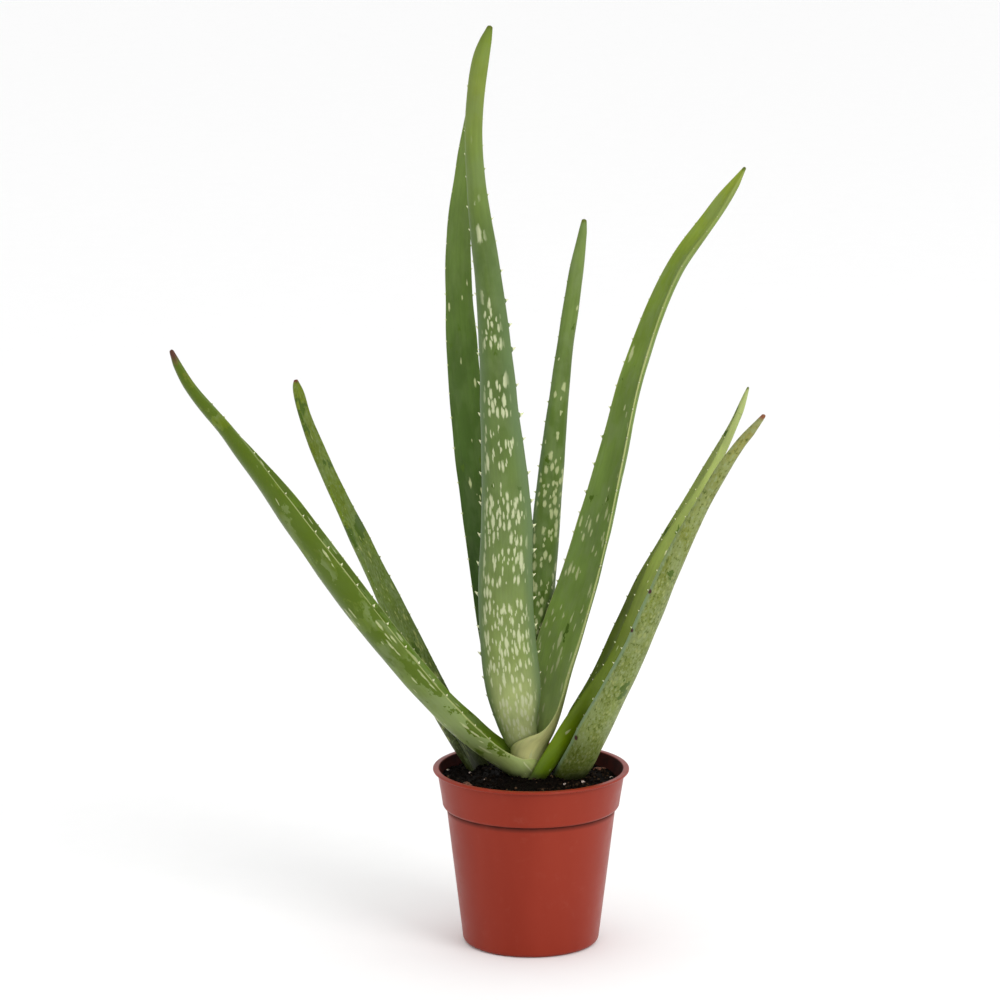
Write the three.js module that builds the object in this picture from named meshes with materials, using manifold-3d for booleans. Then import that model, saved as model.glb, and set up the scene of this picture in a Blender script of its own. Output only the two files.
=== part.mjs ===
// A young aloe in a round nursery pot. Millimetres, +Z up, the origin at the centre of the pot's foot.
// X runs to the right and Y away from the side that shows the tallest leaf's back.
import * as THREE from "three";
import { mergeVertices } from "three/addons/utils/BufferGeometryUtils.js";
import Module from "manifold-3d";

const wasm = await Module();
wasm.setup();

// Gap between two pieces that touch in the real plant.
const GAP = 0.3;

// Pot: a flat foot, a tapered body, a shoulder, a collar and a thin lip.
const POT_HEIGHT = 95.6;
const POT_WALL = 1.1;
const POT_ROUND = 44;
const LIP_RADIUS = 52.5;
const LIP_THICKNESS = 1.4;
const COLLAR_TOP_RADIUS = 50.2;
const COLLAR_LOW_RADIUS = 47.4;
const COLLAR_LOW_Z = 76.6;
const SHOULDER_DROP = 2.4;
const BODY_TOP_RADIUS = 45.1;
const BODY_LOW_RADIUS = 36.6;
const FOOT_ROUND = 3;
const DRAIN_HOLES = 8;
const DRAIN_RADIUS = 4;
const DRAIN_CIRCLE = 25;
const DRAIN_FACETS = 12;

// Potting mix: slightly domed, about 7 mm under the rim, and a little higher on the left.
const MIX_EDGE_Z = 88.8;
const MIX_DOME = 0.7;
const MIX_SLOPE = -0.03; // rise for each millimetre of X

// Stem: short and mostly under the mix, where all the leaves meet.
const STEM = { x: -1, y: 7, radius: 4.5, lowZ: 60, topZ: 99, facets: 14, domeRings: 4 };

// Leaves, from the innermost out. A leaf is drawn along its inner face: each station gives the place,
// then the width from edge to edge, the way that the inner face looks (degrees from +X towards +Y)
// and the half-angle of the arc that the blade is rolled to. thick is the leaf's depth at its base.
const LEAVES = {
  leaf_inner_slim: {
    thick: 5.5,
    color: 0x6f8f4a,
    stations: [
      [1, 11, 101, 12, 130, 60],
      [2.5, 22, 122, 16, 130, 45],
      [4.9, 32, 162, 17, 128, 40],
      [8.5, 37, 210, 17, 125, 40],
      [12.4, 40, 256.2, 14, 121, 40],
      [17.5, 44, 305.7, 9.5, 121, 45],
      [24.2, 46, 353.6, 8.2, 122, 47],
      [28.3, 48, 384.2, 1.8, 119, 63],
    ],
  },
  leaf_back_tall: {
    thick: 6.5,
    color: 0x4a6b2f,
    stations: [
      [-4, 10, 100.9, 11, -90, 60],
      [-5.6, 13, 111.1, 13.5, -89, 48],
      [-9.8, 17, 125.8, 20.5, -88, 40],
      [-16.6, 24, 165.9, 23.4, -85, 35],
      [-24.3, 31, 213.7, 21.5, -83, 35],
      [-31.4, 36, 260.1, 19.5, -82, 35],
      [-37.4, 40, 319.9, 16, -82, 38],
      [-38.8, 42, 372.1, 13, -82, 42],
      [-34.7, 41, 414.8, 10.4, -84, 48],
      [-30.7, 38, 452.1, 2.1, -86, 55],
    ],
  },
  leaf_front_tall: {
    thick: 8,
    color: 0x7d9a5a,
    stations: [
      [-0.4, 9, 101.3, 11.9, 90, 75],
      [-5.2, 4.9, 110.7, 17.8, 91, 62],
      [-9.3, -6, 136.2, 28, 88, 40],
      [-13.8, -13, 186, 28.3, 86, 38],
      [-13.6, -18, 236.1, 26.1, 82, 38],
      [-16.9, -23, 289.6, 20, 80, 39],
      [-21.2, -27.9, 350.7, 14.7, 80, 39],
      [-28.7, -31, 411.2, 9.8, 81, 44],
      [-30.1, -33.1, 448.9, 8, 85, 49],
      [-26.2, -35, 480, 7.8, 88, 53],
      [-21.4, -36, 496.9, 2.2, 90, 61],
    ],
  },
  leaf_right_tall: {
    thick: 7,
    color: 0x66894a,
    stations: [
      [4, 7, 84, 14, 180, 115],
      [4.6, 8, 98.5, 16.5, 184, 150],
      [4.8, 9.3, 103, 18.2, 190, 143],
      [5.2, 10.6, 107.4, 19.6, 200, 108],
      [6.5, 12, 114, 22, 214, 66],
      [13.2, 17.8, 149.5, 25.7, 233, 34],
      [29.6, 27.6, 201.1, 22.1, 234, 34],
      [43.4, 33.9, 252.4, 18.8, 226, 43],
      [56.8, 45, 305.4, 14.2, 223, 43],
      [77, 51.9, 355.8, 10.7, 218, 51],
      [99.1, 59.1, 387.1, 8.5, 222, 50],
      [114.5, 63, 410.1, 1.5, 226, 60],
    ],
  },
  leaf_left_front: {
    thick: 7,
    color: 0x5f8a35,
    stations: [
      [-8.5, 7.5, 79, 15, 0, 95],
      [-9.5, 6, 86.5, 17, 2, 125],
      [-9.5, 5.6, 91.7, 17, 8, 148],
      [-13.6, 3.4, 96.9, 16.6, 10, 98],
      [-35.1, -3.5, 116.5, 24.3, 9, 64],
      [-58.8, -8.8, 141.7, 26.9, 7.5, 66],
      [-98.6, -16, 192.1, 27.5, 5.5, 76],
      [-134.1, -21.8, 244.7, 24.2, 4.5, 70],
      [-158.4, -25.9, 280.8, 14.2, 12, 67],
      [-177.9, -26.8, 306.9, 8, 22, 60],
      [-187.4, -27.9, 327.3, 2, 22, 66],
    ],
  },
  leaf_right_rear: {
    thick: 6.5,
    color: 0x4f7a1e,
    stations: [
      [1.5, -3.5, 84, 13, 160, 70],
      [5, -3, 90.5, 12.5, 166, 62],
      [9.6, -0.2, 98.5, 13.2, 176, 60],
      [17, 4, 107.5, 17, 182, 64],
      [27.3, 12, 122, 20.2, 187, 61],
      [41.5, 21.6, 144.1, 19.5, 190, 57],
      [67.1, 29.5, 199.4, 17, 184, 60],
      [93.9, 41.7, 243.4, 12.2, 191, 61],
      [107.1, 45.2, 269.8, 6.6, 188, 65],
      [116.7, 51, 292.9, 1, 188, 69],
    ],
  },
  leaf_left_rear: {
    thick: 5.5,
    color: 0x5a7a42,
    stations: [
      [-24, 16, 78, 14, -30, 55],
      [-34.1, 22, 97.7, 16, -32, 50],
      [-46.3, 29, 117.1, 16.6, -33, 49],
      [-67.5, 40, 155.9, 15.7, -38, 51],
      [-88.9, 49.1, 200.5, 12.7, -38, 47],
      [-111.5, 57.9, 247.3, 8.9, -39, 52],
      [-122.6, 63.1, 275, 7.3, -39, 57],
      [-125.8, 65.4, 287.6, 5.4, -41, 60],
      [-126.8, 66, 294, 1.5, -42, 62],
    ],
  },
  leaf_right_front: {
    thick: 7,
    color: 0x75894b,
    stations: [
      [20.1, 13.3, 76.8, 22.2, 149, 76],
      [26, 5.9, 92, 23.9, 144, 71],
      [36.4, -11.2, 120.7, 22, 145, 66],
      [54.6, -28.6, 164.6, 18.1, 146, 55],
      [71.6, -44.2, 210.2, 17, 150, 53],
      [89.5, -54.6, 252.4, 8.1, 139, 65],
      [105.8, -62.2, 282.7, 5.9, 141, 59],
      [118.9, -67.9, 300.7, 1.8, 140, 66],
    ],
  },
};
const LEAF_RINGS = 26;
const RING_CROWDING = 1.4; // more than 1 sets the rings closer together near the base
const LEAF_FACETS = 7; // across each of the two faces
const LEAF_EDGE = 0.6; // depth of the leaf at its edge
const EDGE_WIDTH = 6; // a leaf narrower than this has a thinner edge
const MOST_DEPTH = 0.75; // of the width, at the tip
const INNER_SHARE = 0.2; // of the leaf's depth, on the inner side of its line
const EDGE_POWER = 2.2; // the depth at a share v of the half width is
const BELLY_POWER = 0.7; // (1 - v ** EDGE_POWER) ** BELLY_POWER of the full depth
const SHEATH_SHARE = 0.45; // of the full depth, where the leaf wraps the stem
const SHEATH_END = 0.12; // of the leaf's length, where it has its full depth
const TIP_SHARE = 0.45; // of the full depth that is left near the tip
const LAST_RING = 0.9995; // of the leaf's length
const AIM_STEP = 0.5; // either way along the leaf, to find where it heads

// Grains on the mix: place, longest half-size, and the flattening of the other two.
const PERLITE = [
  [-44.6, 12, 1, 0.8, 0.75],
  [-32.6, 7, 0.8, 0.9, 0.8],
  [-24.6, -7.2, 0.8, 0.85, 0.75],
  [10.5, -8, 0.7, 0.9, 0.8],
  [18, -11, 0.9, 0.9, 0.7],
  [27.5, -6, 1.5, 0.6, 0.6, 20],
  [43.2, 7, 1, 0.7, 0.7],
];
const BARK_CHIPS = [
  [37, 23, 3.4, 0.4, 0.3, 12],
  [40, -9, 3.2, 0.5, 0.3, -30],
  [-13.5, 38, 3.4, 0.45, 0.35, 65],
  [-34, -16, 3, 0.45, 0.35, 130],
];
const GRAIN_SINK = 0.35; // of a grain's height, under the mix's surface

const rad = THREE.MathUtils.degToRad;

// A closed mesh as a solid that can be cut.
function toSolid(geometry, reach = 1e-4) {
  const plain = geometry.clone();
  plain.deleteAttribute("normal");
  plain.deleteAttribute("uv");
  const merged = mergeVertices(plain, reach);
  return new wasm.Manifold(
    new wasm.Mesh({
      numProp: 3,
      vertProperties: new Float32Array(merged.attributes.position.array),
      triVerts: new Uint32Array(merged.index.array),
    }),
  );
}

function toGeometry(solid) {
  const mesh = solid.getMesh();
  const geometry = new THREE.BufferGeometry();
  geometry.setAttribute("position", new THREE.BufferAttribute(mesh.vertProperties, 3));
  geometry.setIndex(new THREE.BufferAttribute(mesh.triVerts, 1));
  geometry.computeVertexNormals();
  return geometry;
}

function largestBody(solid) {
  return solid.decompose().reduce((most, body) => (body.volume() > most.volume() ? body : most));
}

// What is left of a solid after its neighbours are cut away, without loose slivers. Corners within a
// micrometre of each other become one, which also parts a sliver that hangs on by a hair.
function cutBy(solid, neighbours) {
  const left = neighbours.reduce((rest, other) => rest.subtract(other), solid);
  return largestBody(toSolid(toGeometry(largestBody(left)), 1e-3));
}

function turned(profile, segments = POT_ROUND) {
  const points = profile.map(([radius, z]) => new THREE.Vector2(radius, z));
  return new THREE.LatheGeometry(points, segments).rotateX(Math.PI / 2);
}

// Points of an arc in the lathe's half-plane.
function arc(centreRadius, centreZ, radius, fromDeg, toDeg, steps) {
  return Array.from({ length: steps + 1 }, (_, i) => {
    const angle = rad(fromDeg + ((toDeg - fromDeg) * i) / steps);
    return [centreRadius + radius * Math.cos(angle), centreZ + radius * Math.sin(angle)];
  });
}

function potGeometry() {
  const shoulderZ = COLLAR_LOW_Z - SHOULDER_DROP;
  const lip = LIP_THICKNESS / 2;
  const outside = [
    [0, 0],
    ...arc(BODY_LOW_RADIUS - FOOT_ROUND, FOOT_ROUND, FOOT_ROUND, -90, -6, 3),
    [BODY_TOP_RADIUS, shoulderZ],
    ...arc(COLLAR_LOW_RADIUS - SHOULDER_DROP, COLLAR_LOW_Z, SHOULDER_DROP, -80, 0, 3),
    [COLLAR_TOP_RADIUS, POT_HEIGHT - LIP_THICKNESS],
  ];
  const rim = arc(LIP_RADIUS - lip, POT_HEIGHT - lip, lip, -90, 90, 4);
  const inside = [
    [COLLAR_TOP_RADIUS - POT_WALL, POT_HEIGHT],
    [COLLAR_LOW_RADIUS - POT_WALL, COLLAR_LOW_Z],
    [BODY_TOP_RADIUS - POT_WALL, shoulderZ],
    [BODY_LOW_RADIUS - POT_WALL, FOOT_ROUND],
    [BODY_LOW_RADIUS - POT_WALL - FOOT_ROUND / 2, POT_WALL],
    [0, POT_WALL],
  ];
  const shell = toSolid(turned([...outside, ...rim, ...inside]));
  const holes = Array.from({ length: DRAIN_HOLES }, (_, i) => {
    const angle = (2 * Math.PI * i) / DRAIN_HOLES;
    const plug = new THREE.CylinderGeometry(DRAIN_RADIUS, DRAIN_RADIUS, 4 * POT_WALL, DRAIN_FACETS);
    plug.rotateX(Math.PI / 2);
    plug.translate(DRAIN_CIRCLE * Math.cos(angle), DRAIN_CIRCLE * Math.sin(angle), 0);
    return toSolid(plug);
  });
  return toGeometry(cutBy(shell, holes));
}

// Height of the mix's surface.
function mixHeight(x, y) {
  const share = Math.hypot(x, y) / COLLAR_TOP_RADIUS;
  return MIX_EDGE_Z + MIX_DOME * (1 - share * share) + MIX_SLOPE * x;
}

// The mix fills the pot. Its surface is turned first and then sloped.
function mixSolid() {
  const clearance = POT_WALL + GAP;
  const lowestEdge = MIX_EDGE_Z - Math.abs(MIX_SLOPE) * COLLAR_TOP_RADIUS;
  const climb = (lowestEdge - COLLAR_LOW_Z) / (POT_HEIGHT - COLLAR_LOW_Z);
  const topRadius = THREE.MathUtils.lerp(COLLAR_LOW_RADIUS, COLLAR_TOP_RADIUS, climb) - clearance;
  const surface = [1, 0.8, 0.55, 0.25, 0].map((share) => [
    share * topRadius,
    mixHeight(0, share * topRadius),
  ]);
  const mix = turned([
    [0, clearance],
    [BODY_LOW_RADIUS - FOOT_ROUND / 2 - clearance, clearance],
    [BODY_LOW_RADIUS - clearance, FOOT_ROUND + GAP],
    [BODY_TOP_RADIUS - clearance, COLLAR_LOW_Z - SHOULDER_DROP],
    [COLLAR_LOW_RADIUS - clearance, COLLAR_LOW_Z + GAP],
    ...surface,
  ]);
  const places = mix.attributes.position;
  for (let i = 0; i < places.count; i += 1) {
    const onSurface = places.getZ(i) > COLLAR_LOW_Z + 2 * GAP;
    if (onSurface) places.setZ(i, places.getZ(i) + MIX_SLOPE * places.getX(i));
  }
  return toSolid(mix);
}

function stemSolid(grow = 0) {
  const { x, y, radius, lowZ, topZ, facets, domeRings } = STEM;
  const length = topZ - lowZ - 2 * radius;
  const stem = new THREE.CapsuleGeometry(radius + grow, length, domeRings, facets);
  stem.rotateX(Math.PI / 2);
  stem.translate(x, y, (lowZ + topZ) / 2);
  return toSolid(stem);
}

// One cross-section of a leaf: an arc-shaped band, inner face first and then back along the outer.
function leafSection(width, halfAngle, depth, edge, grow) {
  const flatHalf = halfAngle < Math.PI / 2
    ? ((width / 2) * halfAngle) / Math.sin(halfAngle)
    : (width / 2) * halfAngle;
  const bend = flatHalf / halfAngle;
  const reach = halfAngle * (1 + grow / flatHalf);
  const section = [];
  for (const side of [1, -1]) {
    const share = side > 0 ? INNER_SHARE : INNER_SHARE - 1;
    for (let i = 0; i <= LEAF_FACETS; i += 1) {
      const across = -side * Math.cos((Math.PI * i) / LEAF_FACETS);
      const body = depth * (1 - Math.abs(across) ** EDGE_POWER) ** BELLY_POWER;
      const offset = share * body + side * (edge / 2 + grow);
      const angle = across * reach;
      section.push([
        (bend - offset) * Math.sin(angle),
        bend - (bend - offset) * Math.cos(angle),
      ]);
    }
  }
  return section;
}

// The leaf as a loft through its stations, grown on all sides by the gap when it cuts a neighbour.
function leafSolid({ stations, thick }, grow = 0) {
  const knots = [0];
  for (let i = 1; i < stations.length; i += 1) {
    const step = Math.hypot(...[0, 1, 2].map((k) => stations[i][k] - stations[i - 1][k]));
    knots.push(knots[i - 1] + step);
  }
  const line = new THREE.CubicInterpolant(knots, stations.flat(), 6, new Float64Array(6));
  const length = knots.at(-1);
  const placeAt = (s) => new THREE.Vector3(...[...line.evaluate(s)].slice(0, 3));
  const positions = [];
  const rings = [];
  for (let i = 0; i < LEAF_RINGS; i += 1) {
    const along = (i / (LEAF_RINGS - 1)) ** RING_CROWDING;
    const s = Math.min(along, LAST_RING) * length;
    const [x, y, z, width, facing, half] = [...line.evaluate(s)];
    const here = new THREE.Vector3(x, y, z);
    const ahead = placeAt(Math.min(s + AIM_STEP, length * LAST_RING));
    const tangent = ahead.sub(placeAt(Math.max(s - AIM_STEP, 0))).normalize();
    const inner = new THREE.Vector3(Math.cos(rad(facing)), Math.sin(rad(facing)), 0);
    inner.addScaledVector(tangent, -inner.dot(tangent)).normalize();
    const across = new THREE.Vector3().crossVectors(tangent, inner);
    const swell = THREE.MathUtils.smoothstep(along, 0, SHEATH_END);
    const taper = THREE.MathUtils.smoothstep(along, SHEATH_END, 1);
    const baseShare = THREE.MathUtils.lerp(SHEATH_SHARE, 1, swell);
    const share = baseShare * THREE.MathUtils.lerp(1, TIP_SHARE, taper);
    const depth = Math.min(thick * share, MOST_DEPTH * width);
    const edge = LEAF_EDGE * Math.min(1, width / EDGE_WIDTH);
    rings.push(
      leafSection(width, rad(half), depth, edge, grow).map(([a, b]) =>
        here.clone().addScaledVector(across, a).addScaledVector(inner, b),
      ),
    );
  }
  const around = rings[0].length;
  for (let i = 0; i + 1 < LEAF_RINGS; i += 1) {
    for (let j = 0; j < around; j += 1) {
      const k = (j + 1) % around;
      const corners = [rings[i][j], rings[i][k], rings[i + 1][k], rings[i + 1][j]];
      for (const n of [0, 1, 2, 0, 2, 3]) positions.push(...corners[n].toArray());
    }
  }
  // Both ends close across the band, between the two faces.
  for (const [ring, flip] of [[rings[0], false], [rings.at(-1), true]]) {
    for (let j = 0; j < around / 2; j += 1) {
      const quad = [ring[j], ring[(j + 1) % around], ring[around - 2 - j], ring[around - 1 - j]];
      const order = flip ? [0, 1, 2, 0, 2, 3] : [0, 2, 1, 0, 3, 2];
      if (j + 1 < around / 2) for (const n of order) positions.push(...quad[n].toArray());
    }
  }
  const geometry = new THREE.BufferGeometry();
  geometry.setAttribute("position", new THREE.Float32BufferAttribute(positions, 3));
  return toSolid(geometry);
}

// A rough grain that lies in the surface of the mix.
function grainSolid([x, y, size, flatB, flatC, turn = 0], grow = 0) {
  const grain = new THREE.IcosahedronGeometry(1, 0);
  grain.scale(size + grow, size * flatB + grow, size * flatC + grow);
  grain.rotateZ(rad(turn));
  grain.translate(x, y, mixHeight(x, y) + (1 - 2 * GRAIN_SINK) * size * flatC);
  return toSolid(grain);
}

const plant = new THREE.Group();

function addPiece(name, geometry, color, roughness) {
  const material = new THREE.MeshStandardMaterial({ color, roughness, metalness: 0 });
  const mesh = new THREE.Mesh(geometry, material);
  mesh.name = name;
  plant.add(mesh);
}

addPiece("pot", potGeometry(), 0x9a4133, 0.45);

const cutters = [stemSolid(GAP)];
addPiece("stem", toGeometry(stemSolid()), 0x8a8a55, 0.7);

for (const [name, leaf] of Object.entries(LEAVES)) {
  addPiece(name, toGeometry(cutBy(leafSolid(leaf), cutters)), leaf.color, 0.45);
  cutters.push(leafSolid(leaf, GAP));
}

const grains = [
  ...PERLITE.map((grain, i) => [`perlite_${i + 1}`, grain, 0xe8e4da]),
  ...BARK_CHIPS.map((chip, i) => [`bark_chip_${i + 1}`, chip, 0x6b4630]),
];
for (const [name, grain, color] of grains) {
  addPiece(name, toGeometry(grainSolid(grain)), color, 0.9);
  cutters.push(grainSolid(grain, GAP));
}
addPiece("potting_mix", toGeometry(cutBy(mixSolid(), cutters)), 0x241914, 0.95);

export default plant;
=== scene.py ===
import math
import random

import bmesh
import bpy
from mathutils import Euler, Matrix, Vector, noise


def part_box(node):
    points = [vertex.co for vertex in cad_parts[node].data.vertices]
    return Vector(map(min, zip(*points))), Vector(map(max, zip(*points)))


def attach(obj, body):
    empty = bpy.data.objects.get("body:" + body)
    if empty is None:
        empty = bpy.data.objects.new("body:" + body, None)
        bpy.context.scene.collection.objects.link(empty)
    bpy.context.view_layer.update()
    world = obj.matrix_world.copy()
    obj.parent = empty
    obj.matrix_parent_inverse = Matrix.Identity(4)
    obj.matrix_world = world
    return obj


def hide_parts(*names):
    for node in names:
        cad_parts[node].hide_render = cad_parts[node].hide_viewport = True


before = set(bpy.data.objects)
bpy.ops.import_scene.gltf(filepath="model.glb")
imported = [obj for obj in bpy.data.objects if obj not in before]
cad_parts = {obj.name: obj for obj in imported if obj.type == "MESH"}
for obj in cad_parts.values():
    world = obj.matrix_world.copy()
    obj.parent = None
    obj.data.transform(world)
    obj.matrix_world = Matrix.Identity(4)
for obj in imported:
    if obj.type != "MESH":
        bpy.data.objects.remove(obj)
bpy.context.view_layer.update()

MM = 0.001
ROOT = "root"

# Camera: the photograph's view, a long lens a little above the plant.
CAMERA_PLACE = (-0.0166, -2.5102, 0.7723)
CAMERA_PITCH = 11.94  # degrees below level
CAMERA_LENS = 174.74

# Pot, in millimetres.
POT_HEIGHT = 95.6
POT_WALL = 1.1
POT_FACETS = 144
LIP_RADIUS = 52.5
LIP_THICKNESS = 1.4
COLLAR_TOP_RADIUS = 50.2
COLLAR_LOW_RADIUS = 47.4
COLLAR_LOW_Z = 76.6
SHOULDER_DROP = 2.4
BODY_TOP_RADIUS = 45.1
BODY_LOW_RADIUS = 36.6
FOOT_ROUND = 3
DRAIN_HOLES = 8
DRAIN_RADIUS = 4
DRAIN_CIRCLE = 25

# Potting mix.
MIX_EDGE_Z = 88.8
MIX_DOME = 0.7
MIX_SLOPE = -0.03
MIX_TOP_RADIUS = 47.6
MIX_CELLS = 150
CRUMBS = 2200
FIBRES = 24

# Leaves. A station is x, y, z, the width from edge to edge, the way that the inner face looks
# (degrees from +X towards +Y) and the half-angle of the arc that the blade is rolled to.
STATIONS = {
    "leaf_inner_slim": (5.5, [
        (1, 11, 101, 12, 130, 60), (2.5, 22, 122, 16, 130, 45), (4.9, 32, 162, 17, 128, 40),
        (8.5, 37, 210, 17, 125, 40), (12.4, 40, 256.2, 14, 121, 40), (17.5, 44, 305.7, 9.5, 121, 45),
        (24.2, 46, 353.6, 8.2, 122, 47), (28.3, 48, 384.2, 1.8, 119, 63)]),
    "leaf_back_tall": (6.5, [
        (-4, 10, 100.9, 11, -90, 60), (-5.6, 13, 111.1, 13.5, -89, 48), (-9.8, 17, 125.8, 20.5, -88, 40),
        (-16.6, 24, 165.9, 23.4, -85, 35), (-24.3, 31, 213.7, 21.5, -83, 35),
        (-31.4, 36, 260.1, 19.5, -82, 35), (-37.4, 40, 319.9, 16, -82, 38), (-38.8, 42, 372.1, 13, -82, 42),
        (-34.7, 41, 414.8, 10.4, -84, 48), (-30.7, 38, 452.1, 2.1, -86, 55)]),
    "leaf_front_tall": (8, [
        (-0.4, 9, 101.3, 11.9, 90, 75), (-5.2, 4.9, 110.7, 17.8, 91, 62), (-9.3, -6, 136.2, 28, 88, 40),
        (-13.8, -13, 186, 28.3, 86, 38), (-13.6, -18, 236.1, 26.1, 82, 38), (-16.9, -23, 289.6, 20, 80, 39),
        (-21.2, -27.9, 350.7, 14.7, 80, 39), (-28.7, -31, 411.2, 9.8, 81, 44),
        (-30.1, -33.1, 448.9, 8, 85, 49), (-26.2, -35, 480, 7.8, 88, 53),
        (-21.4, -36, 496.9, 2.2, 90, 61)]),
    "leaf_right_tall": (7, [
        (4, 7, 84, 14, 180, 115), (4.6, 8, 98.5, 16.5, 184, 150), (4.8, 9.3, 103, 18.2, 190, 143),
        (5.2, 10.6, 107.4, 19.6, 200, 108), (6.5, 12, 114, 22, 214, 66), (13.2, 17.8, 149.5, 25.7, 233, 34),
        (29.6, 27.6, 201.1, 22.1, 234, 34), (43.4, 33.9, 252.4, 18.8, 226, 43),
        (56.8, 45, 305.4, 14.2, 223, 43), (77, 51.9, 355.8, 10.7, 218, 51),
        (99.1, 59.1, 387.1, 8.5, 222, 50), (114.5, 63, 410.1, 1.5, 226, 60)]),
    "leaf_left_front": (7, [
        (-8.5, 7.5, 79, 15, 0, 95), (-9.5, 6, 86.5, 17, 2, 125), (-9.5, 5.6, 91.7, 17, 8, 148),
        (-13.6, 3.4, 96.9, 16.6, 10, 98), (-35.1, -3.5, 116.5, 24.3, 9, 64),
        (-58.8, -8.8, 141.7, 26.9, 7.5, 66), (-98.6, -16, 192.1, 27.5, 5.5, 76),
        (-134.1, -21.8, 244.7, 24.2, 4.5, 70), (-158.4, -25.9, 280.8, 14.2, 12, 67),
        (-177.9, -26.8, 306.9, 8, 22, 60), (-187.4, -27.9, 327.3, 2, 22, 66)]),
    "leaf_right_rear": (6.5, [
        (1.5, -3.5, 84, 13, 160, 70), (5, -3, 90.5, 12.5, 166, 62), (9.6, -0.2, 98.5, 13.2, 176, 60),
        (17, 4, 107.5, 17, 182, 64), (27.3, 12, 122, 20.2, 187, 61),
        (41.5, 21.6, 144.1, 19.5, 190, 57), (67.1, 29.5, 199.4, 17, 184, 60),
        (93.9, 41.7, 243.4, 12.2, 191, 61), (107.1, 45.2, 269.8, 6.6, 188, 65),
        (116.7, 51, 292.9, 1, 188, 69)]),
    "leaf_left_rear": (5.5, [
        (-24, 16, 78, 14, -30, 55), (-34.1, 22, 97.7, 16, -32, 50), (-46.3, 29, 117.1, 16.6, -33, 49),
        (-67.5, 40, 155.9, 15.7, -38, 51), (-88.9, 49.1, 200.5, 12.7, -38, 47),
        (-111.5, 57.9, 247.3, 8.9, -39, 52), (-122.6, 63.1, 275, 7.3, -39, 57),
        (-125.8, 65.4, 287.6, 5.4, -41, 60), (-126.8, 66, 294, 1.5, -42, 62)]),
    "leaf_right_front": (7, [
        (20.1, 13.3, 76.8, 22.2, 149, 76), (26, 5.9, 92, 23.9, 144, 71), (36.4, -11.2, 120.7, 22, 145, 66),
        (54.6, -28.6, 164.6, 18.1, 146, 55), (71.6, -44.2, 210.2, 17, 150, 53),
        (89.5, -54.6, 252.4, 8.1, 139, 65), (105.8, -62.2, 282.7, 5.9, 141, 59),
        (118.9, -67.9, 300.7, 1.8, 140, 66)]),
}
RING_STEP = 1.7
MOST_OPENING = 6  # degrees from ring to ring
LEAF_FACETS = 20
LEAF_EDGE = 0.4
EDGE_WIDTH = 6
MOST_DEPTH = 0.75
INNER_SHARE = 0.2
EDGE_POWER = 2.2
BELLY_POWER = 0.7
SHEATH_SHARE = 0.45
SHEATH_END = 0.12
TIP_SHARE = 0.45
AIM_STEP = 0.5

# Teeth: where they start and end along the leaf, their mean distance and their height.
TEETH = {
    "leaf_inner_slim": dict(start=60, end=265, pitch=14, height=1.4),
    "leaf_back_tall": dict(start=50, end=345, pitch=15.5, height=1.3),
    "leaf_front_tall": dict(start=20, end=375, pitch=16.5, height=2.4, far_share=1.35),
    "leaf_right_tall": dict(start=48, end=330, pitch=14, height=1.4),
    "leaf_left_front": dict(start=40, end=285, pitch=14, height=1.7, far_share=0.45),
    "leaf_right_rear": dict(start=50, end=225, pitch=14, height=1.1),
    "leaf_left_rear": dict(start=48, end=215, pitch=12, height=0.8),
    "leaf_right_front": dict(start=45, end=235, pitch=12, height=1.1),
}

# Looks of the leaves. Colours are 8-bit sRGB, as the skin looks in the studio's light, and LIGHT is
# what that light multiplies them by. Outer and inner are rows of (share of the length, colour).
# Rub is how far the bloom is rubbed off at the foot and at the tip, from rub_from on. The foot is
# painted dark up to the given height, as painted shade where the leaf meets the mix, and a strip of
# painted sheen of the given width, in the edge colour, runs beside the margins. Sizes are in
# millimetres, the rest are shares.
LIGHT = (1.5, 1.47, 2.0)
PLAIN_LOOK = dict(
    outer=[(0, (150, 160, 104)), (0.15, (112, 134, 72)), (0.5, (100, 124, 60)), (1, (124, 146, 70))],
    inner=[(0, (70, 96, 26)), (0.3, (82, 106, 40)), (1, (104, 128, 52))],
    bloom=(138, 156, 116), bloom_share=0.35, rubbed=(76, 104, 4), rub=(0.1, 0.1), rub_from=0.03,
    spots=0.5, spots_inside=0.3, spots_end=0.75, spot=(208, 214, 178), spot_size=(2.0, 7.5),
    spot_rim=1.5, edge_sheen=0.0, edge=(112, 136, 102), margin=0.0, mottle=0.0, scars=0.0,
    tip=(104, 116, 34), tip_length=3, foot_shade=8,
)
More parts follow.
